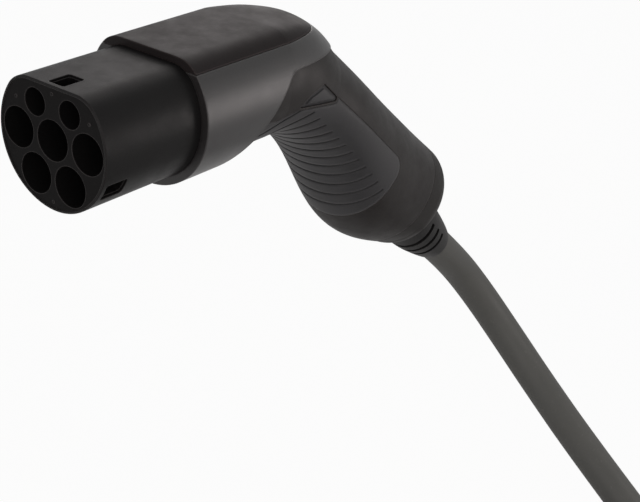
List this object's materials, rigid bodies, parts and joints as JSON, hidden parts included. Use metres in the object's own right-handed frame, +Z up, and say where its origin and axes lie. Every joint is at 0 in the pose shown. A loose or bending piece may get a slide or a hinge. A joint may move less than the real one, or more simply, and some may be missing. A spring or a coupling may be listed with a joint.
{
  "type": "ev charging plug",
  "caption": "Charging plug with a D-shaped nose, recessed contact pins, an angled handle with a ribbed grip, and a heavy cable put away in a coil.",
  "frame": {"origin": "centre of the nose's front rim, on the plug's axis", "axes": "+X runs back from the nose's face along the plug's axis, +Z is up towards the flat of the nose, and the handle drops away towards +X and -Z"},
  "size_m": [0.288, 0.3611, 0.3117],
  "materials": {
    "nose_plastic": "satin",
    "carrier_plastic": "matte",
    "seal_rubber": "matte",
    "pin_metal": "satin",
    "tip_plastic": "matte",
    "screw_steel": "satin",
    "resistor_ceramic": "matte",
    "hood_plastic": "satin",
    "housing_plastic": "satin",
    "inlay_rubber": "matte",
    "cap_plastic": "satin",
    "boot_rubber": "matte",
    "clamp_plastic": "matte",
    "wire_green": "satin",
    "wire_blue": "satin",
    "wire_brown": "satin",
    "wire_black": "satin",
    "wire_grey": "satin",
    "wire_white": "satin",
    "cable_jacket": "satin",
    "tie_fabric": "matte",
    "core_insulation": "satin",
    "ferrule_metal": "satin"
  },
  "bodies": {
    "root": {"cable_boot": "boot_rubber", "cable_clamp": "clamp_plastic", "cable_coil": "cable_jacket", "cable_entry": "cable_jacket", "cable_run": "cable_jacket", "cable_seal": "seal_rubber", "cable_tail": "cable_jacket", "cheek_panel": "housing_plastic", "clamp_screws": "screw_steel", "coding_resistor": "resistor_ceramic", "coil_ties": "tie_fabric", "contact_base": "carrier_plastic", "contact_carrier": "carrier_plastic", "contact_retainer": "carrier_plastic", "cp_pin": "pin_metal", "cp_tip": "tip_plastic", "cp_wire": "wire_white", "end_cap": "cap_plastic", "end_cores": "core_insulation", "end_ferrules": "ferrule_metal", "grip_inlay": "inlay_rubber", "hood_cover": "hood_plastic", "housing_body": "housing_plastic", "l1_pin": "pin_metal", "l1_tip": "tip_plastic", "l1_wire": "wire_brown", "l2_pin": "pin_metal", "l2_tip": "tip_plastic", "l2_wire": "wire_black", "l3_pin": "pin_metal", "l3_tip": "tip_plastic", "l3_wire": "wire_grey", "n_pin": "pin_metal", "n_tip": "tip_plastic", "n_wire": "wire_blue", "nose_seal": "seal_rubber", "nose_shell": "nose_plastic", "pe_pin": "pin_metal", "pe_tip": "tip_plastic", "pe_wire": "wire_green", "pp_pin": "pin_metal", "pp_tip": "tip_plastic", "pp_wire": "wire_black", "retainer_screws": "screw_steel"}
  },
  "joints": []
}
